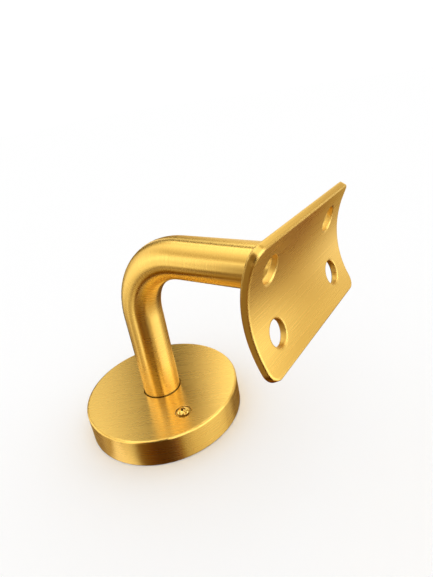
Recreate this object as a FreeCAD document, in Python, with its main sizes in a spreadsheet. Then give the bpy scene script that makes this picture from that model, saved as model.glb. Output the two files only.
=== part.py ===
"""Handrail bracket: a bent round bar on a covered wall flange, carrying a rolled saddle for a round rail.

The origin is the centre of the wall face. +Z stands out of the wall, +X is the way the arm
turns, and +Y runs along the handrail. All sizes are in millimetres.
"""
import FreeCAD, Part
import math
import os
import re
import Sketcher

# Driving dimensions: name, value, what it measures
SIZES = (
    ("bar_diameter", 16, "round bar of the arm"),
    ("arm_height", 77, "wall face to the centre of the arm"),
    ("arm_reach", 71, "centre of the rosette to the back of the saddle"),
    ("bend_radius", 27.5, "bend of the bar, at its centreline"),
    ("rosette_diameter", 67, "outside of the cover"),
    ("rosette_height", 12, "wall face to the top of the cover"),
    ("cover_wall", 1.5, "side wall of the cover"),
    ("cover_top", 1.5, "top of the cover"),
    ("cover_edge_radius", 0.8, "rounded top edge of the cover"),
    ("cover_inner_radius", 0.5, "inside corner of the cover"),
    ("cover_rim_break", 0.3, "edge break where the cover meets the wall"),
    ("cover_bore_break", 0.2, "rounded edge of the cover's hole for the bar"),
    ("cover_bar_gap", 0.3, "gap all round the bar where it passes through the cover"),
    ("flange_thickness", 5, "hidden wall flange"),
    ("flange_cover_gap", 1, "gap all round between the flange and the cover's side wall"),
    ("flange_edge_break", 0.5, "edge break on top of the flange"),
    ("flange_bar_clearance", 0.1, "gap all round the bar in the flange, before welding"),
    ("flange_weld_leg", 2.5, "fillet weld between bar and flange"),
    ("wall_screw_count", 3, "wall screw holes in the flange"),
    ("wall_screw_inset", 9, "centre of a wall screw, in from the flange's edge"),
    ("wall_screw_hole", 5.5, "through hole for a wall screw"),
    ("wall_screw_sink", 10.5, "countersink for a wall screw, at the top of the flange"),
    ("wall_screw_sink_angle", 90, "full angle of that countersink"),
    ("cover_screw_inset", 11.5, "centre of the cover screw, in from the outside of the cover"),
    ("cover_screw_angle", -26, "place of the cover screw round the rosette, from +X"),
    ("cover_screw_thread", 2.5, "outside of the cover screw's thread"),
    ("cover_screw_clearance", 0.2, "gap all round the screw where it passes through the cover"),
    ("cover_screw_engagement", 3.5, "length of the screw in the flange"),
    ("thread_allowance", 0.05, "gap all round the screw in its tapped hole"),
    ("screw_tip_break", 0.4, "bevel at the screw's tip"),
    ("screw_head_diameter", 5, "pan head of the cover screw"),
    ("screw_head_height", 2.1, "pan head of the cover screw"),
    ("screw_head_rim", 0.9, "straight side of the pan head, under its dome"),
    ("screw_seat_diameter", 6.8, "spot face for the head in the cover"),
    ("screw_seat_depth", 0.5, "spot face for the head in the cover"),
    ("recess_width", 2.7, "cross recess, tip to tip, at the top of the head"),
    ("recess_wing", 0.8, "width of one arm of the cross recess at the top"),
    ("recess_depth", 1.3, "cross recess"),
    ("recess_turn", 20, "turn of the cross recess from +X"),
    ("recess_floor_share", 0.4, "size of the recess at its floor, as a share of its size at the top"),
    ("rail_diameter", 70, "round handrail that the saddle takes"),
    ("saddle_length", 62, "saddle along the rail"),
    ("saddle_girth", 40.5, "saddle round the rail, along the middle of its thickness"),
    ("saddle_thickness", 2.5, "plate of the saddle"),
    ("saddle_corner_radius", 4, "corners of the saddle"),
    ("saddle_edge_break", 0.5, "rounded edge all round both faces of the saddle"),
    ("rail_hole_diameter", 8, "rail screw hole"),
    ("rail_hole_spacing", 40, "rail screw holes along the rail"),
    ("rail_hole_girth", 20, "rail screw holes round the rail, along the middle of the plate"),
    ("rail_hole_sink", 9.3, "countersink of a rail screw hole, on the back of the saddle"),
    ("rail_hole_break", 0.15, "edge break of a rail screw hole on the rail side"),
    ("saddle_weld_radius", 2, "hollow fillet weld between arm and saddle"),
)

SIZE_NAMES = re.compile(r"\b(" + "|".join(alias for alias, _, _ in SIZES) + r")\b")
Z_AXIS = FreeCAD.Vector(0, 0, 1)
# Two places, or two radii, nearer than this are the same
SAME = 1e-4

doc = FreeCAD.newDocument("handrail_bracket")
sheet = doc.addObject("Spreadsheet::Sheet", "Sizes")
for row, (alias, size, meaning) in enumerate(SIZES, start=1):
    sheet.set(f"A{row}", meaning)
    sheet.set(f"B{row}", str(size))
    sheet.setAlias(f"B{row}", alias)
doc.recompute()


def sized(text):
    """An expression on the sheet: each size's name becomes a reference to its cell."""
    return SIZE_NAMES.sub(r"Sizes.\1", text)


def number(text):
    """The present value of an expression on the sheet."""
    return float(sheet.evalExpression(sized(text)))


def bind(thing, **expressions):
    """Binds properties to expressions; a double underscore stands for a dot in the path."""
    for path, text in expressions.items():
        thing.setExpression(path.replace("__", "."), sized(text))


def constrain(sketch, kind, *arguments, text=None):
    """Adds a constraint to a sketch; one with a size takes it from an expression."""
    if text is None:
        sketch.addConstraint(Sketcher.Constraint(kind, *arguments))
        return
    index = sketch.addConstraint(Sketcher.Constraint(kind, *arguments, number(text)))
    sketch.setExpression(f"Constraints[{index}]", sized(text))


# Places that several pieces share, worked out from the sizes
BAR_RADIUS = "bar_diameter / 2"
SADDLE_INNER = "rail_diameter / 2"
SADDLE_OUTER = "(rail_diameter / 2 + saddle_thickness)"
SADDLE_MIDDLE = "(rail_diameter / 2 + saddle_thickness / 2)"
RAIL_AXIS_X = "arm_reach + rail_diameter / 2 + saddle_thickness"
COVER_INNER = "(rosette_diameter / 2 - cover_wall)"
COVER_CEILING = "(rosette_height - cover_top)"
FLANGE_RADIUS = "(rosette_diameter / 2 - cover_wall - flange_cover_gap)"
SCREW_X = "(rosette_diameter / 2 - cover_screw_inset) * cos(cover_screw_angle * 1 deg)"
SCREW_Y = "(rosette_diameter / 2 - cover_screw_inset) * sin(cover_screw_angle * 1 deg)"
SCREW_SEAT = "(rosette_height - screw_seat_depth)"


def new_body(label):
    body = doc.addObject("PartDesign::Body", label)
    body.Label = label
    return body


def own_plane(body, role):
    """One of a body's own three planes."""
    return next(item for item in body.Origin.OriginFeatures if item.Role == role)


def new_sketch(body, name, plane):
    """An empty sketch on one of the body's own planes."""
    sketch = body.newObject("Sketcher::SketchObject", name)
    sketch.AttachmentSupport = [(own_plane(body, plane), "")]
    sketch.MapMode = "FlatFace"
    return sketch


def pin_point(sketch, geometry, end, x, y):
    """Fixes one point of a sketch at two expressions; "0" puts it on the axis, None leaves it."""
    for kind, axis, text in (("DistanceX", -2, x), ("DistanceY", -1, y)):
        if text == "0":
            constrain(sketch, "PointOnObject", geometry, end, axis)
        elif text is not None:
            constrain(sketch, kind, -1, 1, geometry, end, text=text)


def add_polygon(sketch, corners):
    """Closes straight lines through corners, each a pair of expressions."""
    points = [FreeCAD.Vector(number(x), number(y), 0) for x, y in corners]
    first = sketch.GeometryCount
    for index, point in enumerate(points):
        following = points[(index + 1) % len(points)]
        sketch.addGeometry(Part.LineSegment(point, following), False)
    for index, (x, y) in enumerate(corners):
        previous = first + (index - 1) % len(corners)
        constrain(sketch, "Coincident", previous, 2, first + index, 1)
        pin_point(sketch, first + index, 1, x, y)


def add_circle(sketch, x, y, diameter):
    """A circle with its centre and diameter bound to expressions."""
    centre = FreeCAD.Vector(number(x), number(y), 0)
    circle = Part.Circle(centre, Z_AXIS, number(diameter) / 2)
    geometry = sketch.addGeometry(circle, False)
    pin_point(sketch, geometry, 3, x, y)
    constrain(sketch, "Diameter", geometry, text=diameter)


def revolve(body, name, sketch, kind="PartDesign::Revolution", axis="V_Axis"):
    """Turns a sketch a full circle about one of its own axes."""
    feature = body.newObject(kind, name)
    feature.Profile = sketch
    feature.ReferenceAxis = (sketch, [axis])
    feature.Angle = 360
    doc.recompute()
    return feature


def sink_hole(body, name, place, cut, **sizes):
    """Drills a screw hole through a body and opens its mouth for the head."""
    hole = body.newObject("PartDesign::Hole", name)
    hole.Profile = place
    doc.recompute()
    hole.DepthType = "ThroughAll"
    hole.DrillPoint = "Flat"
    hole.HoleCutType = cut
    hole.HoleCutCustomValues = True
    bind(hole, **sizes)
    doc.recompute()
    return hole


def edges_where(shape, test):
    """Names of the edges of a shape that pass a test."""
    return [f"Edge{index}" for index, edge in enumerate(shape.Edges, start=1) if test(edge)]


def dress(body, name, kind, base, edges, size):
    """Rounds or bevels edges of a feature by a size on the sheet."""
    feature = body.newObject(kind, name)
    feature.Base = (base, edges)
    prop = "Radius" if kind.endswith("Fillet") else "Size"
    setattr(feature, prop, number(size))
    feature.setExpression(prop, sized(size))
    doc.recompute()
    return feature


def is_circle_at(edge, radius, height):
    """True for a level circle about the Z axis of the given radius and height."""
    curve = edge.Curve
    if not isinstance(curve, Part.Circle):
        return False
    central = curve.Center.distanceToPoint(FreeCAD.Vector(0, 0, height)) < SAME
    level = abs(curve.Axis.z) > 1 - SAME
    return central and level and abs(curve.Radius - radius) < SAME


def make_arm():
    """Round bar: up from the wall, through one bend, out to the back of the saddle."""
    body = new_body("arm")
    section = new_sketch(body, "BarSection", "XY_Plane")
    add_circle(section, "0", "0", "bar_diameter")

    path = new_sketch(body, "BarPath", "XZ_Plane")
    bend_start = number("arm_height - bend_radius")
    radius = number("bend_radius")
    height = number("arm_height")
    # The bar runs on into the saddle's thickness, and is then coped to the saddle's back
    end_of_bar = "arm_reach + saddle_thickness"
    reach = number(end_of_bar)
    centre = FreeCAD.Vector(radius, bend_start, 0)
    rise = path.addGeometry(Part.LineSegment(FreeCAD.Vector(0, 0, 0), FreeCAD.Vector(0, bend_start, 0)))
    circle = Part.Circle(centre, Z_AXIS, radius)
    bend = path.addGeometry(Part.ArcOfCircle(circle, math.pi / 2, math.pi))
    run = path.addGeometry(
        Part.LineSegment(FreeCAD.Vector(radius, height, 0), FreeCAD.Vector(reach, height, 0))
    )
    constrain(path, "Coincident", rise, 1, -1, 1)
    constrain(path, "Vertical", rise)
    constrain(path, "Tangent", rise, 2, bend, 2)
    constrain(path, "Tangent", bend, 1, run, 1)
    constrain(path, "Horizontal", run)
    constrain(path, "Radius", bend, text="bend_radius")
    pin_point(path, run, 2, end_of_bar, "arm_height")
    doc.recompute()

    bar = body.newObject("PartDesign::AdditivePipe", "BentBar")
    bar.Profile = section
    bar.Spine = (path, ["Edge1", "Edge2", "Edge3"])
    doc.recompute()

    cope = new_sketch(body, "SaddleBack", "XZ_Plane")
    add_circle(cope, RAIL_AXIS_X, "arm_height", f"2 * {SADDLE_OUTER}")
    pocket = body.newObject("PartDesign::Pocket", "CopedEnd")
    pocket.Profile = cope
    pocket.Type = "ThroughAll"
    pocket.Midplane = True
    doc.recompute()
    return body


def make_flange():
    """Hidden round wall flange with countersunk wall holes and the cover screw's tapped hole."""
    body = new_body("wall_flange")
    profile = new_sketch(body, "FlangeProfile", "XZ_Plane")
    bore = f"{BAR_RADIUS} + flange_bar_clearance"
    add_polygon(profile, [
        (bore, "0"),
        (FLANGE_RADIUS, "0"),
        (FLANGE_RADIUS, "flange_thickness"),
        (bore, "flange_thickness"),
    ])
    disc = revolve(body, "FlangeDisc", profile)
    top_edge = edges_where(
        disc.Shape,
        lambda edge: is_circle_at(edge, number(FLANGE_RADIUS), number("flange_thickness")),
    )
    dress(body, "FlangeEdge", "PartDesign::Chamfer", disc, top_edge, "flange_edge_break")

    # The wall screws stand on their circle, the cover screw half-way between two of them
    place = new_sketch(body, "WallScrewPlace", "XY_Plane")
    first = "(cover_screw_angle * 1 deg + 180 deg / wall_screw_count)"
    circle = f"({FLANGE_RADIUS} - wall_screw_inset)"
    bind(place, AttachmentOffset__Base__z="flange_thickness")
    add_circle(place, f"{circle} * cos{first}", f"{circle} * sin{first}", "wall_screw_hole")
    doc.recompute()
    hole = sink_hole(
        body,
        "WallScrewHole",
        place,
        "Countersink",
        Diameter="wall_screw_hole",
        HoleCutDiameter="wall_screw_sink",
        HoleCutCountersinkAngle="wall_screw_sink_angle",
    )
    pattern = body.newObject("PartDesign::PolarPattern", "WallScrewHoles")
    pattern.Originals = [hole]
    pattern.Axis = (place, ["N_Axis"])
    pattern.Angle = 360
    bind(pattern, Occurrences="wall_screw_count")
    body.Tip = pattern
    doc.recompute()

    tapped = new_sketch(body, "TappedHolePlace", "XY_Plane")
    bind(tapped, AttachmentOffset__Base__z="flange_thickness")
    add_circle(tapped, SCREW_X, SCREW_Y, "cover_screw_thread + 2 * thread_allowance")
    thread = body.newObject("PartDesign::Pocket", "TappedHole")
    thread.Profile = tapped
    thread.Type = "ThroughAll"
    doc.recompute()
    return body


def make_cover():
    """Rosette: a turned cup that hides the flange and slides up the bar to reach its screws."""
    body = new_body("rosette_cover")
    profile = new_sketch(body, "CoverProfile", "XZ_Plane")
    bore = f"{BAR_RADIUS} + cover_bar_gap"
    add_polygon(profile, [
        (COVER_INNER, "0"),
        ("rosette_diameter / 2", "0"),
        ("rosette_diameter / 2", "rosette_height"),
        (bore, "rosette_height"),
        (bore, COVER_CEILING),
        (COVER_INNER, COVER_CEILING),
    ])
    cup = revolve(body, "CoverCup", profile)
    outside = number("rosette_diameter / 2")
    top = number("rosette_height")
    ring = edges_where(cup.Shape, lambda edge: is_circle_at(edge, outside, top))
    shoulder = dress(body, "CoverEdge", "PartDesign::Fillet", cup, ring, "cover_edge_radius")
    inside = number(COVER_INNER)
    ceiling = number(COVER_CEILING)
    ring = edges_where(shoulder.Shape, lambda edge: is_circle_at(edge, inside, ceiling))
    corner = dress(body, "InnerCorner", "PartDesign::Fillet", shoulder, ring, "cover_inner_radius")
    ring = edges_where(corner.Shape, lambda edge: is_circle_at(edge, outside, 0))
    rim = dress(body, "RimBreak", "PartDesign::Chamfer", corner, ring, "cover_rim_break")
    ring = edges_where(rim.Shape, lambda edge: is_circle_at(edge, number(bore), top))
    dress(body, "BoreBreak", "PartDesign::Fillet", rim, ring, "cover_bore_break")

    place = new_sketch(body, "CoverScrewPlace", "XY_Plane")
    bind(place, AttachmentOffset__Base__z="rosette_height")
    add_circle(place, SCREW_X, SCREW_Y, "cover_screw_thread")
    doc.recompute()
    sink_hole(
        body,
        "CoverScrewHole",
        place,
        "Counterbore",
        Diameter="cover_screw_thread + 2 * cover_screw_clearance",
        HoleCutDiameter="screw_seat_diameter",
        HoleCutDepth="screw_seat_depth",
    )
    return body


def cross_corners(share):
    """The twelve corners of a cross recess, drawn at a share of its size at the top."""
    tip = f"recess_width / 2 * {share}"
    side = f"recess_wing / 2 * {share}"
    corners = []
    for sign_x, sign_y in ((1, 1), (-1, 1), (-1, -1), (1, -1)):
        quadrant = [
            (f"{sign_x} * {tip}", f"{sign_y} * {side}"),
            (f"{sign_x} * {side}", f"{sign_y} * {side}"),
            (f"{sign_x} * {side}", f"{sign_y} * {tip}"),
        ]
        corners += quadrant if sign_x == sign_y else quadrant[::-1]
    return corners


def make_cover_screw():
    """Small pan-head screw with a cross recess, from the top of the cover into the flange."""
    body = new_body("cover_screw")
    bind(
        body,
        Placement__Base__x=SCREW_X,
        Placement__Base__y=SCREW_Y,
        Placement__Base__z=SCREW_SEAT,
    )
    length = f"({SCREW_SEAT} - flange_thickness + cover_screw_engagement)"
    profile = new_sketch(body, "ScrewProfile", "XZ_Plane")
    head = "screw_head_diameter / 2"
    shank = "cover_screw_thread / 2"
    outline = [
        ("0", "screw_head_height"),
        ("0", f"-{length}"),
        (f"{shank} - screw_tip_break", f"-{length}"),
        (shank, f"screw_tip_break - {length}"),
        (shank, "0"),
        (head, "0"),
        (head, "screw_head_rim"),
    ]
    points = [FreeCAD.Vector(number(x), number(y), 0) for x, y in outline]
    for start, end in zip(points, points[1:]):
        profile.addGeometry(Part.LineSegment(start, end), False)
    # The dome is an arc about the screw's axis, from the rim to the crown
    crown, rim = points[0], points[-1]
    dome_height = crown.y - rim.y
    dome_radius = (rim.x ** 2 + dome_height ** 2) / (2 * dome_height)
    circle = Part.Circle(FreeCAD.Vector(0, crown.y - dome_radius, 0), Z_AXIS, dome_radius)
    arc = Part.ArcOfCircle(circle, circle.parameter(rim), circle.parameter(crown))
    dome = profile.addGeometry(arc, False)
    for index, (x, y) in enumerate(outline[:-1]):
        pin_point(profile, index, 1, x, y)
        if index:
            constrain(profile, "Coincident", index - 1, 2, index, 1)
    last = len(outline) - 2
    pin_point(profile, last, 2, *outline[-1])
    constrain(profile, "Coincident", last, 2, dome, 1)
    constrain(profile, "Coincident", dome, 2, 0, 1)
    pin_point(profile, dome, 3, "0", None)
    revolve(body, "ScrewBlank", profile)

    top = new_sketch(body, "RecessTop", "XY_Plane")
    bind(top, AttachmentOffset__Base__z="screw_head_height")
    add_polygon(top, cross_corners("1"))
    floor = new_sketch(body, "RecessFloor", "XY_Plane")
    bind(floor, AttachmentOffset__Base__z="screw_head_height - recess_depth")
    add_polygon(floor, cross_corners("recess_floor_share"))
    for sketch in (top, floor):
        turned = FreeCAD.Rotation(Z_AXIS, number("recess_turn"))
        sketch.AttachmentOffset = FreeCAD.Placement(sketch.AttachmentOffset.Base, turned)
        bind(sketch, AttachmentOffset__Rotation__Angle="recess_turn * 1 deg")
    doc.recompute()
    recess = body.newObject("PartDesign::SubtractiveLoft", "CrossRecess")
    recess.Profile = top
    recess.Sections = [floor]
    recess.Ruled = True
    doc.recompute()
    return body


def is_through_the_plate(edge):
    """True for the straight edges that cross the saddle's thickness."""
    return isinstance(edge.Curve, Part.Line) and abs(edge.Curve.Direction.y) < SAME


def is_rolled(face):
    """True for the two faces of the saddle that curve about the rail's axis."""
    surface = face.Surface
    if not isinstance(surface, Part.Cylinder) or abs(surface.Axis.y) < 1 - SAME:
        return False
    return any(abs(surface.Radius - number(side)) < SAME for side in (SADDLE_INNER, SADDLE_OUTER))


def make_saddle():
    """Rolled plate with rounded corners and four radial screw holes; its frame is the rail's axis."""
    body = new_body("rail_saddle")
    bind(body, Placement__Base__x=RAIL_AXIS_X, Placement__Base__z="arm_height")
    profile = new_sketch(body, "SaddleProfile", "XZ_Plane")
    half = f"(saddle_girth / 2 / {SADDLE_MIDDLE} * 1 rad)"
    spread = number(f"saddle_girth / 2 / {SADDLE_MIDDLE}")
    arcs = []
    for radius in (SADDLE_INNER, SADDLE_OUTER):
        circle = Part.Circle(FreeCAD.Vector(0, 0, 0), Z_AXIS, number(radius))
        arc = Part.ArcOfCircle(circle, math.pi - spread, math.pi + spread)
        index = profile.addGeometry(arc, False)
        constrain(profile, "Coincident", index, 3, -1, 1)
        constrain(profile, "Radius", index, text=radius)
        pin_point(profile, index, 1, None, f"{radius} * sin{half}")
        pin_point(profile, index, 2, None, f"-{radius} * sin{half}")
        arcs.append(index)
    inner, outer = arcs
    for end in (1, 2):
        start = profile.getPoint(inner, end)
        stop = profile.getPoint(outer, end)
        side = profile.addGeometry(Part.LineSegment(start, stop), False)
        constrain(profile, "Coincident", side, 1, inner, end)
        constrain(profile, "Coincident", side, 2, outer, end)
    doc.recompute()
    plate = body.newObject("PartDesign::Pad", "RolledPlate")
    plate.Profile = profile
    plate.Midplane = True
    bind(plate, Length="saddle_length")
    doc.recompute()

    corners = edges_where(plate.Shape, is_through_the_plate)
    rounded = dress(body, "Corners", "PartDesign::Fillet", plate, corners, "saddle_corner_radius")
    rolled = [face for face in rounded.Shape.Faces if is_rolled(face)]
    rims = edges_where(
        rounded.Shape,
        lambda edge: any(edge.isSame(other) for face in rolled for other in face.Edges),
    )
    dress(body, "EdgeBreak", "PartDesign::Fillet", rounded, rims, "saddle_edge_break")

    # Each hole points at the rail's axis: a countersunk drill's outline, turned about that line
    drill = new_sketch(body, "RailHoleProfile", "XZ_Plane")
    angle = f"rail_hole_girth / 2 / {SADDLE_MIDDLE}"
    turned = FreeCAD.Rotation(Z_AXIS, math.degrees(number(angle)))
    drill.AttachmentOffset = FreeCAD.Placement(FreeCAD.Vector(0, 0, 0), turned)
    bind(
        drill,
        AttachmentOffset__Base__z="rail_hole_spacing / 2",
        AttachmentOffset__Rotation__Angle=f"{angle} * 1 rad",
    )
    hole = "rail_hole_diameter / 2"
    sink = "rail_hole_sink / 2"
    run_out = "saddle_thickness"
    add_polygon(drill, [
        (f"{run_out} - {SADDLE_INNER}", "0"),
        (f"{run_out} - {SADDLE_INNER}", f"{hole} + rail_hole_break + {run_out}"),
        (f"-{SADDLE_INNER} - rail_hole_break", hole),
        (f"{sink} - {hole} - {SADDLE_OUTER}", hole),
        (f"-{run_out} - {SADDLE_OUTER}", f"{sink} + {run_out}"),
        (f"-{run_out} - {SADDLE_OUTER}", "0"),
    ])
    groove = revolve(body, "RailHole", drill, "PartDesign::Groove", "H_Axis")
    holes = body.newObject("PartDesign::MultiTransform", "RailHoles")
    mirrors = []
    for name, plane in (("MirrorAlong", "XZ_Plane"), ("MirrorRound", "XY_Plane")):
        mirror = body.newObject("PartDesign::Mirrored", name)
        mirror.MirrorPlane = (own_plane(body, plane), [""])
        mirrors.append(mirror)
    holes.Originals = [groove]
    holes.Transformations = mirrors
    body.Tip = holes
    doc.recompute()
    return body


def make_flange_weld():
    """Hollow fillet weld round the bar, on top of the flange."""
    body = new_body("flange_weld")
    profile = new_sketch(body, "WeldProfile", "XZ_Plane")
    toe = f"{BAR_RADIUS} + flange_weld_leg"
    top = "flange_thickness + flange_weld_leg"
    root_point = FreeCAD.Vector(number(BAR_RADIUS), number("flange_thickness"), 0)
    toe_point = FreeCAD.Vector(number(toe), root_point.y, 0)
    top_point = FreeCAD.Vector(root_point.x, number(top), 0)
    foot = profile.addGeometry(Part.LineSegment(root_point, toe_point), False)
    wall = profile.addGeometry(Part.LineSegment(top_point, root_point), False)
    middle = FreeCAD.Vector(toe_point.x, top_point.y, 0)
    circle = Part.Circle(middle, Z_AXIS, number("flange_weld_leg"))
    arc = Part.ArcOfCircle(circle, circle.parameter(top_point), circle.parameter(toe_point))
    face = profile.addGeometry(arc, False)
    constrain(profile, "Coincident", wall, 2, foot, 1)
    constrain(profile, "Coincident", wall, 1, face, 1)
    constrain(profile, "Coincident", foot, 2, face, 2)
    constrain(profile, "Horizontal", foot)
    constrain(profile, "Vertical", wall)
    pin_point(profile, foot, 1, BAR_RADIUS, "flange_thickness")
    pin_point(profile, foot, 2, toe, None)
    pin_point(profile, wall, 1, None, top)
    pin_point(profile, face, 3, toe, None)
    revolve(body, "WeldRing", profile)
    return body


def is_at_the_joint(edge):
    """True for the curved edges where the bar's side runs into the saddle's back."""
    along_the_bar = isinstance(edge.Curve, Part.Line)
    box = edge.BoundBox
    behind = box.XMin < number("arm_reach") - SAME
    beside = max(abs(box.YMin), abs(box.YMax)) > number(BAR_RADIUS) + SAME
    return not (along_the_bar or behind or beside)


def make_saddle_weld():
    """Rolling-ball fillet where the bar meets the curved back, less the bar and the back."""
    stub = doc.addObject("Part::Cylinder", "ArmEnd")
    stub.Placement.Rotation = FreeCAD.Rotation(FreeCAD.Vector(0, 1, 0), 90)
    # Enough of the bar for the fillet to run up
    straight = "(arm_reach - bend_radius)"
    bind(
        stub,
        Radius=BAR_RADIUS,
        Height=f"{straight} + saddle_thickness",
        Placement__Base__x="bend_radius",
        Placement__Base__z="arm_height",
    )
    back = doc.addObject("Part::Cylinder", "SaddleBackForm")
    back.Placement.Rotation = FreeCAD.Rotation(FreeCAD.Vector(1, 0, 0), 90)
    bind(
        back,
        Radius=SADDLE_OUTER,
        Height="saddle_length",
        Placement__Base__x=RAIL_AXIS_X,
        Placement__Base__y="saddle_length / 2",
        Placement__Base__z="arm_height",
    )
    joined = doc.addObject("Part::Fuse", "ArmOnSaddle")
    joined.Base = back
    joined.Tool = stub
    joined.Refine = False
    doc.recompute()
    radius = number("saddle_weld_radius")
    joint = [int(name.removeprefix("Edge")) for name in edges_where(joined.Shape, is_at_the_joint)]
    rounded = doc.addObject("Part::Fillet", "RoundedJoint")
    rounded.Base = joined
    rounded.Edges = [(index, radius, radius) for index in joint]
    doc.recompute()
    weld = doc.addObject("Part::Cut", "saddle_weld")
    weld.Label = "saddle_weld"
    weld.Base = rounded
    weld.Tool = joined
    doc.recompute()
    return weld


def check_and_write(parts):
    """Stops on any failed object or bad solid, then writes one file for each piece."""
    doc.recompute()
    for item in doc.Objects:
        if "Invalid" in item.State or "Error" in item.State:
            raise RuntimeError(f"{item.Label} failed: {item.State}")
    for part in parts:
        shape = part.Shape
        if shape.isNull() or not shape.isValid() or len(shape.Solids) != 1:
            raise RuntimeError(f"{part.Label} is not one valid solid")
    os.makedirs("parts", exist_ok=True)
    for part in parts:
        part.Shape.exportStep(os.path.join("parts", f"{part.Label}.step"))
        print(f"{part.Label}: {part.Shape.Volume / 1000:.3f} cm3")


check_and_write([
    make_arm(),
    make_flange(),
    make_flange_weld(),
    make_cover(),
    make_cover_screw(),
    make_saddle(),
    make_saddle_weld(),
])
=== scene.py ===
"""Studio scene of the handrail bracket: satin gold brushed metal on a plain pale floor.

Metres throughout, in the part's own frame: +Z out of the wall face, +X the way the arm turns,
+Y along the handrail. The bracket stands on its rosette.
"""
import bpy
import math
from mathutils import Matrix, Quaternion, Vector


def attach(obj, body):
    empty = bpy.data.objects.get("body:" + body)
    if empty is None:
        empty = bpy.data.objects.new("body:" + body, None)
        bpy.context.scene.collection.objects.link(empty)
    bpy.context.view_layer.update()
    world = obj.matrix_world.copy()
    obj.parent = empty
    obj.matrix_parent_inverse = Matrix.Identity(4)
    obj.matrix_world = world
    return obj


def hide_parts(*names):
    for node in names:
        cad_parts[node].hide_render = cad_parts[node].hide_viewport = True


MM = 0.001

# The photograph's camera
CAMERA_PLACE = (0.128258, -0.110383, 0.133407)
CAMERA_TURN_DEG = (67.5344, 9.0481, 33.5974)
CAMERA_LENS_MM = 27.736
CAMERA_SENSOR_MM = 36
CAMERA_SHIFT = (-0.00685, -0.04568)
CAMERA_CLIP_START = 5 * MM

# Gold as linear colour: beside the brush marks, in them, on edges where it is lighter from wear and a
# painted highlight, and painted shade deep in gaps
GOLD = (0.88, 0.60, 0.18, 1)
GOLD_IN_MARKS = (0.84, 0.565, 0.163, 1)
WORN_AND_HIGHLIT_GOLD = (0.94, 0.70, 0.29, 1)
# The last is painted shade: near black gold where walls close in
PAINTED_SHADE_GOLD = (0.10, 0.045, 0.01, 1)
# Each finish: roughness, and the share of its blur that runs only across the brush marks
BRUSHED = (0.28, 0.95)
TURNED = (0.3, 0.5)
CUT = (0.24, 0.0)
DRILLED = (0.42, 0.0)
SMOOTHED_WELD = (0.18, 0.0)
BRIGHT = (0.13, 0.0)
# Brush marks per metre, along the brush and across it, their depth, and the noise's range in use
FINE_MARKS = (40, 2200)
BROAD_MARKS = (10, 500)
FINE_SHARE = 0.8
FINE_DEPTH = 0.0003 * MM
BROAD_DEPTH = 0.0003 * MM
MARKS_RANGE = (0.3, 0.7)
ROUGHNESS_SPREAD = 0.02
# Faint clouds left by handling, per metre, and their share beside the brush marks
CLOUDS = 90
CLOUD_SHARE = 0.15
# Radius of edges rounded by wear; the cosine of the edge's turn where the polish starts and is full;
# the polish's share of the colour, which also paints a highlight on the edges, and the roughness that
# it takes off
WEAR_RADIUS = 0.4 * MM
PLATE_WEAR_RADIUS = 0.9 * MM
SCREW_WEAR_RADIUS = 0.15 * MM
WEAR_COSINES = (0.99, 0.88)
WEAR_AND_HIGHLIGHT_SHARE = 0.8
WEAR_POLISH = 0.06
# Painted shade in gaps: how near a wall darkens a place, and how open the place is where the painted
# shade is darkest and clear
PAINTED_SHADE_REACH = 1.5 * MM
PAINTED_SHADE_RANGE = (0.15, 0.75)
# Rays that feel for edges and for gaps
FEELERS = 4

# Sizes of the part that the finish follows
BEND_RADIUS = 27.5 * MM
ARM_HEIGHT = 77 * MM
RAIL_AXIS_X = 108.5 * MM
# Half sizes of the saddle's part that has the holes, along the rail and upright
HOLES_WITHIN = (27 * MM, 17 * MM)
# Faces of the saddle whose normal leans further from the rail's radius than this cosine are the
# rim and the walls of the holes
RIM_COSINE = 0.7
# Direction of the brush on top of the rosette, and the cosines of the tilt where it gives way to
# the side's brush and where it is full
TOP_BRUSH_DEG = 38
LEVEL_COSINES = (0.97, 0.995)

# Floor and background
FLOOR_SIZE = 6
FLOOR_COLOUR = (0.96, 0.96, 0.96, 1)
WORLD_COLOUR = (1, 1, 1, 1)
WORLD_LEVEL = 1.04

# The studio as the metal sees it: a far tent of soft boxes, black cloth and gaps between them.
# Its level rises with the elevation in degrees, before the panels are hung in front of it
TENT_RADIUS = 20
TENT_BY_ELEVATION = ((-60, 0.3), (-30, 0.3), (-10, 0.8), (20, 0.9), (60, 1.35))
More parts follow.
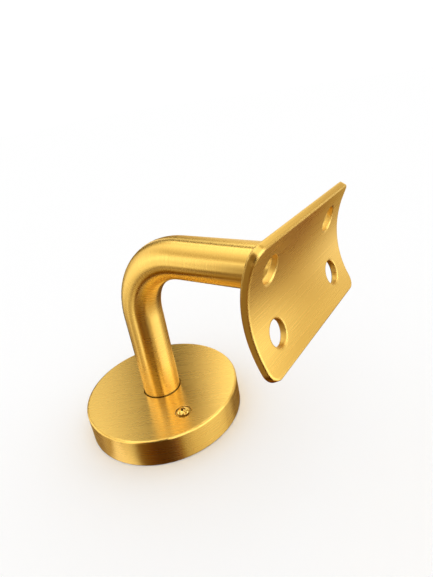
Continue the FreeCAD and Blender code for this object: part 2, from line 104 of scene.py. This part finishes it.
# What hangs there: (azimuth, elevation) of its centre, half sizes and soft edges, all in degrees,
# and its level
TENT_PANELS = (
    ("ceiling light", (172, 72), (50, 14), (12, 8), 2.3),
    ("left box", (-140, 3), (44, 22), (8, 8), 1.35),
    ("left box, bright strip", (-138, 10), (46, 7), (8, 5), 1.9),
    ("left box, far corner", (-158, 20), (14, 9), (8, 5), 1.8),
    ("left box, near end", (-107, 13), (14, 37), (6, 8), 1.7),
    ("shade over the left box", (-135, 34), (26, 8), (8, 5), 0.5),
    ("pale floor under the left box", (-144, -26), (10, 8), (6, 5), 1.0),
    ("shade under the left box", (-120, -26), (16, 7), (6, 4), 0.0),
    ("dim floor on the left", (-122, -41), (12, 10), (6, 6), 0.6),
    ("black cloth in front", (-64, 12), (22, 28), (8, 8), 0.0),
    ("black cloth, thin part", (-82, -24), (14, 12), (8, 6), 0.3),
    ("small lamp on the left", (-105, -28), (7, 8), (5, 5), 1.5),
    ("dark floor in front", (-85, -62), (45, 20), (10, 6), 0.0),
    ("right box", (10, 4), (36, 36), (8, 8), 1.8),
    ("right box, near end", (-27, 24), (14, 20), (8, 8), 2.6),
    ("right box, top bar", (24, 28), (26, 11), (10, 6), 2.5),
    ("right box, low bar", (16, -13), (18, 13), (8, 6), 2.4),
    ("floor on the right", (8, -46), (38, 8), (8, 6), 0.5),
    ("floor on the right, near end", (-22, -42), (9, 9), (6, 6), 1.0),
    ("black cloth, low part", (-46, -12), (28, 18), (8, 6), 0.0),
    ("grey wall beside the right box", (70, 12), (18, 50), (8, 8), 0.6),
    ("shade on the right box", (42, 5), (9, 7), (5, 5), 0.4),
    ("small lamp on the wall", (55, 4), (6, 6), (5, 5), 1.3),
    ("small lamp low on the box", (45, -17), (7, 7), (5, 5), 1.9),
    ("small lamp near the floor", (56, -30), (6, 6), (5, 5), 1.4),
    ("slit in the grey wall", (65, -12), (6, 9), (4, 5), 1.6),
    ("back box", (105, 0), (24, 16), (8, 8), 1.1),
    ("back box, top", (104, 42), (24, 10), (8, 6), 1.5),
    ("dark floor behind", (120, -52), (60, 24), (12, 8), 0.05),
    ("black cloth behind", (155, 0), (26, 46), (6, 6), 0.0),
    ("slit in the cloth", (145, 12), (4, 16), (3, 6), 1.5),
    ("left lamp over the cloth", (159, 54), (8, 10), (5, 6), 2.5),
    ("gap over the cloth", (143, 64), (9, 22), (4, 6), 0.0),
    ("right lamp over the cloth", (126, 54), (9, 10), (5, 6), 3.3),
    ("pale wall at the far left", (178, 24), (10, 24), (8, 8), 1.2),
    ("dark floor at the far left", (-168, -38), (12, 13), (6, 6), 0.1),
)
# Colour of the tent is level times the gain plus the shift: dim cloth is brown, lamps are white
TENT_GAIN = (0.98, 1.04, 0.94)
TENT_SHIFT = (0.0, -0.174, -0.35)
# Cards near the bracket: centre in mm, the way it faces, turn in degrees, width and height in mm,
# light, and the share of the width that doesn't fade. The brown cards darken the saddle's near end
# and its near upper corner, and the reflector brightens the rosette's side
CARDS = (
    ("brown_card", (40, -82, 68), (0.49, 0.72, 0.49), 0, (60, 125), (0.30, 0.20, 0.08), 0.9),
    ("corner_card", (71.8, -94.3, 122.9), (0.02, 0.87, -0.49), 28, (50, 108), (0.22, 0.13, 0.035), 0.6),
    ("floor_reflector", (-1.2, -40.2, 0.3), (0, 0, 1), -40, (13, 44), (1.15, 1.02, 0.8), 0.2),
)
# Share of a card's height that doesn't fade, and where its edge lies in its own coordinates
CARD_FULL_HEIGHT = 0.7
CARD_EDGE = 0.5

# The mix node's sockets for its two values and its result
MIX_SOCKETS = {"VECTOR": (4, 5, 1), "RGBA": (6, 7, 2)}

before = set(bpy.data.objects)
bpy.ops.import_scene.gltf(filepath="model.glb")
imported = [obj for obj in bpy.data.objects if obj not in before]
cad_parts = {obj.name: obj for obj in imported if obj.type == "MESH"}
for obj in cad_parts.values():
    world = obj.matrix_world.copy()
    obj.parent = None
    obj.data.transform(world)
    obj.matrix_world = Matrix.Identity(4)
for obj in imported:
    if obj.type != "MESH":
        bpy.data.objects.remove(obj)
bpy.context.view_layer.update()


class Tree:
    """Short way to build a node tree."""

    def __init__(self, tree):
        self.tree = tree
        tree.nodes.clear()

    def node(self, kind, **inputs):
        """Adds a node; sockets take numbers, vectors or other nodes' outputs."""
        made = self.tree.nodes.new(kind)
        for name, value in inputs.items():
            self.feed(made, name.replace("_", " "), value)
        return made

    def feed(self, made, name, value):
        """Fills one socket, which goes by its name or, as in at2, by its number."""
        socket = made.inputs[int(name[2:])] if name.startswith("at") else made.inputs[name]
        if isinstance(value, bpy.types.NodeSocket):
            self.tree.links.new(value, socket)
        else:
            socket.default_value = value

    def feed_all(self, made, values):
        """Fills the first sockets in order."""
        for index, value in enumerate(values):
            self.feed(made, f"at{index}", value)

    def maths(self, operation, *values):
        made = self.node("ShaderNodeMath")
        made.operation = operation
        self.feed_all(made, values)
        return made.outputs[0]

    def vector(self, operation, *values):
        made = self.node("ShaderNodeVectorMath")
        made.operation = operation
        self.feed_all(made, values)
        return made.outputs["Value" if operation == "DOT_PRODUCT" else "Vector"]

    def remap(self, value, low, high, new_low=0.0, new_high=1.0, smooth=False):
        made = self.node("ShaderNodeMapRange")
        made.interpolation_type = "SMOOTHSTEP" if smooth else "LINEAR"
        self.feed_all(made, (value, low, high, new_low, new_high))
        return made.outputs["Result"]

    def stretch(self, vector, scale, turn_deg=0):
        """Turns a vector about Z, then scales it."""
        turned = self.node("ShaderNodeVectorRotate", Vector=vector, Angle=math.radians(turn_deg))
        turned.rotation_type = "Z_AXIS"
        return self.node("ShaderNodeMapping", Vector=turned.outputs[0], Scale=scale).outputs[0]

    def mix(self, kind, share, first, second):
        """Mixes two vectors or two colours."""
        made = self.node("ShaderNodeMix")
        made.data_type = kind
        at_first, at_second, at_result = MIX_SOCKETS[kind]
        for index, value in ((0, share), (at_first, first), (at_second, second)):
            self.feed(made, f"at{index}", value)
        return made.outputs[at_result]

    def noise(self, vector):
        return self.node("ShaderNodeTexNoise", Vector=vector, Scale=1.0, Detail=1.0).outputs["Fac"]

    def bump(self, height, depth, normal):
        made = self.node("ShaderNodeBump", Strength=1.0, Distance=depth, Height=height, Normal=normal)
        return made.outputs[0]

    def show(self, shader, kind="ShaderNodeOutputMaterial"):
        """Ends the tree with a shader."""
        self.node(kind, Surface=shader.outputs[0])


def new_material(name):
    material = bpy.data.materials.new(name)
    material.use_nodes = True
    return material, Tree(material.node_tree)


def object_place(tree):
    return tree.node("ShaderNodeTexCoord").outputs["Object"]


def surface_normal(tree):
    return tree.node("ShaderNodeNewGeometry").outputs["Normal"]


def mesh_vector(tree, name):
    """A vector that the mesh carries under this name."""
    carried = tree.node("ShaderNodeAttribute")
    carried.attribute_name = name
    return carried.outputs["Vector"]


def edges_worn_and_highlit(tree, radius):
    """How far handling has polished a place and how much a painted highlight lightens it, from nothing
    on flat faces to the share set for sharp edges, then the normal of the surface with its edges
    rounded by wear."""
    rounded = tree.node("ShaderNodeBevel", Radius=radius)
    rounded.samples = FEELERS
    flat = tree.vector("DOT_PRODUCT", rounded.outputs[0], surface_normal(tree))
    return tree.remap(flat, *WEAR_COSINES, 0, WEAR_AND_HIGHLIGHT_SHARE), rounded.outputs[0]


def unshaded_places(tree):
    """Share of plain gold against painted shade: nothing deep in a gap or recess, where the colour is
    painted dark as shade, and one where the surface lies open.
    """
    wall_shade = tree.node("ShaderNodeAmbientOcclusion", Distance=PAINTED_SHADE_REACH)
    wall_shade.samples = FEELERS
    return tree.remap(wall_shade.outputs["AO"], *PAINTED_SHADE_RANGE)


def weigh(tree, share, first, second):
    """First times its share, plus second times the rest."""
    weighed = tree.maths("MULTIPLY", first, share)
    return tree.maths("ADD", weighed, tree.maths("MULTIPLY", second, 1 - share))


def gold(name, grain, tangent, finish=BRUSHED, wear=WEAR_RADIUS):
    """Gold with brush marks. grain and tangent are functions: grain stretches the surface's
    coordinates by marks per metre along and across the brush, tangent gives the direction
    across it."""
    roughness, anisotropy = finish
    material, tree = new_material(name)
    fine = tree.noise(grain(tree, *FINE_MARKS))
    broad = tree.noise(grain(tree, *BROAD_MARKS))
    clouds = tree.noise(tree.stretch(object_place(tree), (CLOUDS, CLOUDS, CLOUDS)))
    marks = weigh(tree, 1 - CLOUD_SHARE, weigh(tree, FINE_SHARE, fine, broad), clouds)
    wear_and_highlight, worn_round = edges_worn_and_highlit(tree, wear)
    brushed = tree.mix("RGBA", tree.remap(marks, *MARKS_RANGE), GOLD_IN_MARKS, GOLD)
    # Edges are lighter, partly from wear and partly as a painted highlight
    handled_and_highlit = tree.mix("RGBA", wear_and_highlight, brushed, WORN_AND_HIGHLIT_GOLD)
    coarse = tree.remap(marks, *MARKS_RANGE, roughness + ROUGHNESS_SPREAD, roughness - ROUGHNESS_SPREAD)
    polished = tree.maths("MULTIPLY", wear_and_highlight, WEAR_POLISH)
    waves = tree.bump(broad, BROAD_DEPTH, worn_round)
    # Deep in gaps and recesses the base colour is painted dark as shade
    shader = tree.node(
        "ShaderNodeBsdfPrincipled",
        Metallic=1.0,
        Anisotropic=anisotropy,
        Base_Color=tree.mix("RGBA", unshaded_places(tree), PAINTED_SHADE_GOLD, handled_and_highlit),
        Roughness=tree.maths("SUBTRACT", coarse, polished),
        Tangent=tangent(tree),
        Normal=tree.bump(fine, FINE_DEPTH, waves),
    )
    tree.show(shader)
    return material


def bar_grain(tree, along, across):
    return tree.stretch(mesh_vector(tree, "straight_bar"), (along, along, across))


def bar_tangent(tree):
    return mesh_vector(tree, "bar_axis")


def top_or_side(tree, on_top, on_side):
    """Picks one vector where the surface is level, the other elsewhere."""
    level = tree.vector("DOT_PRODUCT", surface_normal(tree), (0, 0, 1))
    return tree.mix("VECTOR", tree.remap(level, *LEVEL_COSINES), on_side, on_top)


def cover_grain(tree, along, across):
    place = object_place(tree)
    on_top = tree.stretch(place, (along, across, across), -TOP_BRUSH_DEG)
    on_side = tree.stretch(place, (along, along, across))
    return top_or_side(tree, on_top, on_side)


def cover_tangent(tree):
    turn = math.radians(TOP_BRUSH_DEG + 90)
    return top_or_side(tree, (math.cos(turn), math.sin(turn), 0), (0, 0, 1))


def saddle_grain(tree, along, across):
    return tree.stretch(object_place(tree), (across, along, across))


def saddle_tangent(tree):
    return tree.vector("CROSS_PRODUCT", surface_normal(tree), (0, 1, 0))


def rim_grain(tree, along, across):
    """Faint marks that run round the plate's cut edge."""
    return tree.stretch(object_place(tree), (across, along, along))


def turned_grain(tree, along, across):
    return tree.stretch(object_place(tree), (along, along, across))


def turned_tangent(tree):
    """Along the axis, and outwards on level faces."""
    outwards = tree.vector("MULTIPLY", object_place(tree), (1, 1, 0))
    return top_or_side(tree, outwards, (0, 0, 1))


def unbend(place):
    """Where a point of the bent bar lies on the straight bar, and the bar's direction there."""
    rise = ARM_HEIGHT - BEND_RADIUS
    if place.z <= rise:
        return Vector(place), Vector((0, 0, 1))
    if place.x >= BEND_RADIUS:
        along = rise + BEND_RADIUS * math.pi / 2 + place.x - BEND_RADIUS
        return Vector((ARM_HEIGHT - place.z, place.y, along)), Vector((1, 0, 0))
    from_centre = Vector((BEND_RADIUS - place.x, 0, place.z - rise))
    turn = math.atan2(from_centre.z, from_centre.x)
    inward = BEND_RADIUS - from_centre.length
    direction = Vector((math.sin(turn), 0, math.cos(turn)))
    return Vector((inward, place.y, rise + BEND_RADIUS * turn)), direction


def own_copy(node, name, materials):
    """A copy of a CAD node that may carry attributes and more than one finish."""
    piece = bpy.data.objects.new(name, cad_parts[node].data.copy())
    bpy.context.scene.collection.objects.link(piece)
    piece.data.materials.clear()
    for material in materials:
        piece.data.materials.append(material)
    for face in piece.data.polygons:
        face.material_index = 0
    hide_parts(node)
    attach(piece, "root")
    return piece


def dress_arm():
    """The arm carries the coordinates of its round brush marks."""
    arm = own_copy("arm", "brushed_arm", [gold("bar_gold", bar_grain, bar_tangent)])
    straight = arm.data.attributes.new("straight_bar", "FLOAT_VECTOR", "POINT")
    axis = arm.data.attributes.new("bar_axis", "FLOAT_VECTOR", "POINT")
    for index, vertex in enumerate(arm.data.vertices):
        place, direction = unbend(vertex.co)
        straight.data[index].vector = place
        axis.data[index].vector = direction


def dress_saddle():
    """The saddle is brushed on its two broad faces and plainly cut on its rim and in its holes."""
    faces = gold("saddle_gold", saddle_grain, saddle_tangent, wear=PLATE_WEAR_RADIUS)
    rim = gold("rim_gold", rim_grain, turned_tangent, CUT, PLATE_WEAR_RADIUS)
    drilled = gold("drilled_gold", turned_grain, turned_tangent, DRILLED)
    saddle = own_copy("rail_saddle", "brushed_saddle", [faces, rim, drilled])
    for face in saddle.data.polygons:
        centre = Vector((face.center.x - RAIL_AXIS_X, face.center.y, face.center.z - ARM_HEIGHT))
        from_axis = Vector((centre.x, 0, centre.z)).normalized()
        if abs(face.normal.dot(from_axis)) < RIM_COSINE:
            in_hole = abs(centre.y) < HOLES_WITHIN[0] and abs(centre.z) < HOLES_WITHIN[1]
            face.material_index = 2 if in_hole else 1


def paint(node, material):
    """Gives a CAD node its finish."""
    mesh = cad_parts[node].data
    mesh.materials.clear()
    mesh.materials.append(material)


def covered(tree, angle, centre, half, edge, wraps):
    """One inside a panel and nothing outside, with a soft edge."""
    away = tree.maths("SUBTRACT", angle, centre)
    if wraps:
        away = tree.maths("WRAP", away, 180.0, -180.0)
    away = tree.maths("ABSOLUTE", away)
    return tree.remap(away, half - edge, half + edge, 1, 0, smooth=True)


def tent_material():
    material, tree = new_material("tent_cloth")
    parts = tree.node("ShaderNodeSeparateXYZ", Vector=tree.vector("NORMALIZE", object_place(tree)))
    azimuth = tree.maths("DEGREES", tree.maths("ARCTAN2", parts.outputs["Y"], parts.outputs["X"]))
    elevation = tree.maths("DEGREES", tree.maths("ARCSINE", parts.outputs["Z"]))
    level = TENT_BY_ELEVATION[0][1]
    for (low, below), (high, above) in zip(TENT_BY_ELEVATION, TENT_BY_ELEVATION[1:]):
        level = tree.maths("ADD", level, tree.remap(elevation, low, high, 0, above - below))
    for _, centre, half, edge, panel_level in TENT_PANELS:
        across = covered(tree, azimuth, centre[0], half[0], edge[0], wraps=True)
        up = covered(tree, elevation, centre[1], half[1], edge[1], wraps=False)
        cover = tree.maths("MULTIPLY", across, up)
        kept = tree.maths("MULTIPLY", level, tree.maths("SUBTRACT", 1.0, cover))
        level = tree.maths("ADD", kept, tree.maths("MULTIPLY", cover, panel_level))
    grey = tree.node("ShaderNodeCombineXYZ", X=level, Y=level, Z=level)
    tinted = tree.vector("MULTIPLY_ADD", grey.outputs[0], TENT_GAIN, TENT_SHIFT)
    tree.show(tree.node("ShaderNodeEmission", Color=tree.vector("MAXIMUM", tinted, (0, 0, 0))))
    return material


def only_in_metal(thing):
    """Shows in the metal's reflections and nowhere else."""
    thing.visible_camera = False
    thing.visible_diffuse = False
    thing.visible_transmission = False
    thing.visible_volume_scatter = False
    thing.visible_shadow = False


def make_tent():
    bpy.ops.mesh.primitive_uv_sphere_add(segments=64, ring_count=32, radius=TENT_RADIUS)
    tent = bpy.context.object
    tent.name = "light_tent"
    tent.data.materials.append(tent_material())
    only_in_metal(tent)


def card_material(name, light, full_width):
    """Glows in the middle and fades to clear at the edges."""
    material, tree = new_material(name)
    place = tree.node("ShaderNodeSeparateXYZ", Vector=object_place(tree))
    fades = []
    for axis, full in (("X", full_width), ("Y", CARD_FULL_HEIGHT)):
        out = tree.maths("ABSOLUTE", place.outputs[axis])
        fades.append(tree.remap(out, full * CARD_EDGE, CARD_EDGE, 1, 0, smooth=True))
    clear = tree.node("ShaderNodeBsdfTransparent")
    glow = tree.node("ShaderNodeEmission", Color=(*light, 1))
    shader = tree.node("ShaderNodeMixShader")
    tree.feed_all(shader, (tree.maths("MULTIPLY", *fades), clear.outputs[0], glow.outputs[0]))
    tree.show(shader)
    return material


def make_card(name, centre, faces, turn_deg, size, light, full_width):
    bpy.ops.mesh.primitive_plane_add(size=1, location=Vector(centre) * MM)
    card = bpy.context.object
    card.name = name
    card.scale = (size[0] * MM, size[1] * MM, 1)
    turn = Quaternion((0, 0, 1), math.radians(turn_deg))
    card.rotation_euler = (Vector(faces).to_track_quat("Z", "Y") @ turn).to_euler()
    card.data.materials.append(card_material(name, light, full_width))
    only_in_metal(card)


def make_floor():
    """The floor takes the shadow, and the metal doesn't mirror it."""
    bpy.ops.mesh.primitive_plane_add(size=FLOOR_SIZE)
    floor = bpy.context.object
    floor.name = "floor"
    material, tree = new_material("floor_paper")
    tree.show(tree.node("ShaderNodeBsdfDiffuse", Color=FLOOR_COLOUR))
    floor.data.materials.append(material)
    floor.visible_glossy = False


def make_world():
    """A plain white world lights the floor, and the metal doesn't mirror it either."""
    world = bpy.data.worlds.new("studio")
    bpy.context.scene.world = world
    world.use_nodes = True
    tree = Tree(world.node_tree)
    back = tree.node("ShaderNodeBackground", Color=WORLD_COLOUR, Strength=WORLD_LEVEL)
    tree.show(back, "ShaderNodeOutputWorld")
    world.cycles_visibility.glossy = False


def make_camera():
    data = bpy.data.cameras.new("camera")
    data.sensor_width = CAMERA_SENSOR_MM
    data.lens = CAMERA_LENS_MM
    data.shift_x, data.shift_y = CAMERA_SHIFT
    data.clip_start = CAMERA_CLIP_START
    camera = bpy.data.objects.new("camera", data)
    camera.location = CAMERA_PLACE
    camera.rotation_euler = [math.radians(turn) for turn in CAMERA_TURN_DEG]
    bpy.context.scene.collection.objects.link(camera)
    bpy.context.scene.camera = camera


dress_arm()
dress_saddle()
paint("rosette_cover", gold("cover_gold", cover_grain, cover_tangent))
paint("cover_screw", gold("screw_gold", turned_grain, turned_tangent, BRIGHT, SCREW_WEAR_RADIUS))
turned_gold = gold("turned_gold", turned_grain, turned_tangent, TURNED)
for node in ("wall_flange", "flange_weld"):
    paint(node, turned_gold)
paint("saddle_weld", gold("plain_gold", turned_grain, turned_tangent, SMOOTHED_WELD))

make_tent()
for card in CARDS:
    make_card(*card)
make_floor()
make_world()
make_camera()
bpy.context.scene.view_settings.view_transform = "Standard"
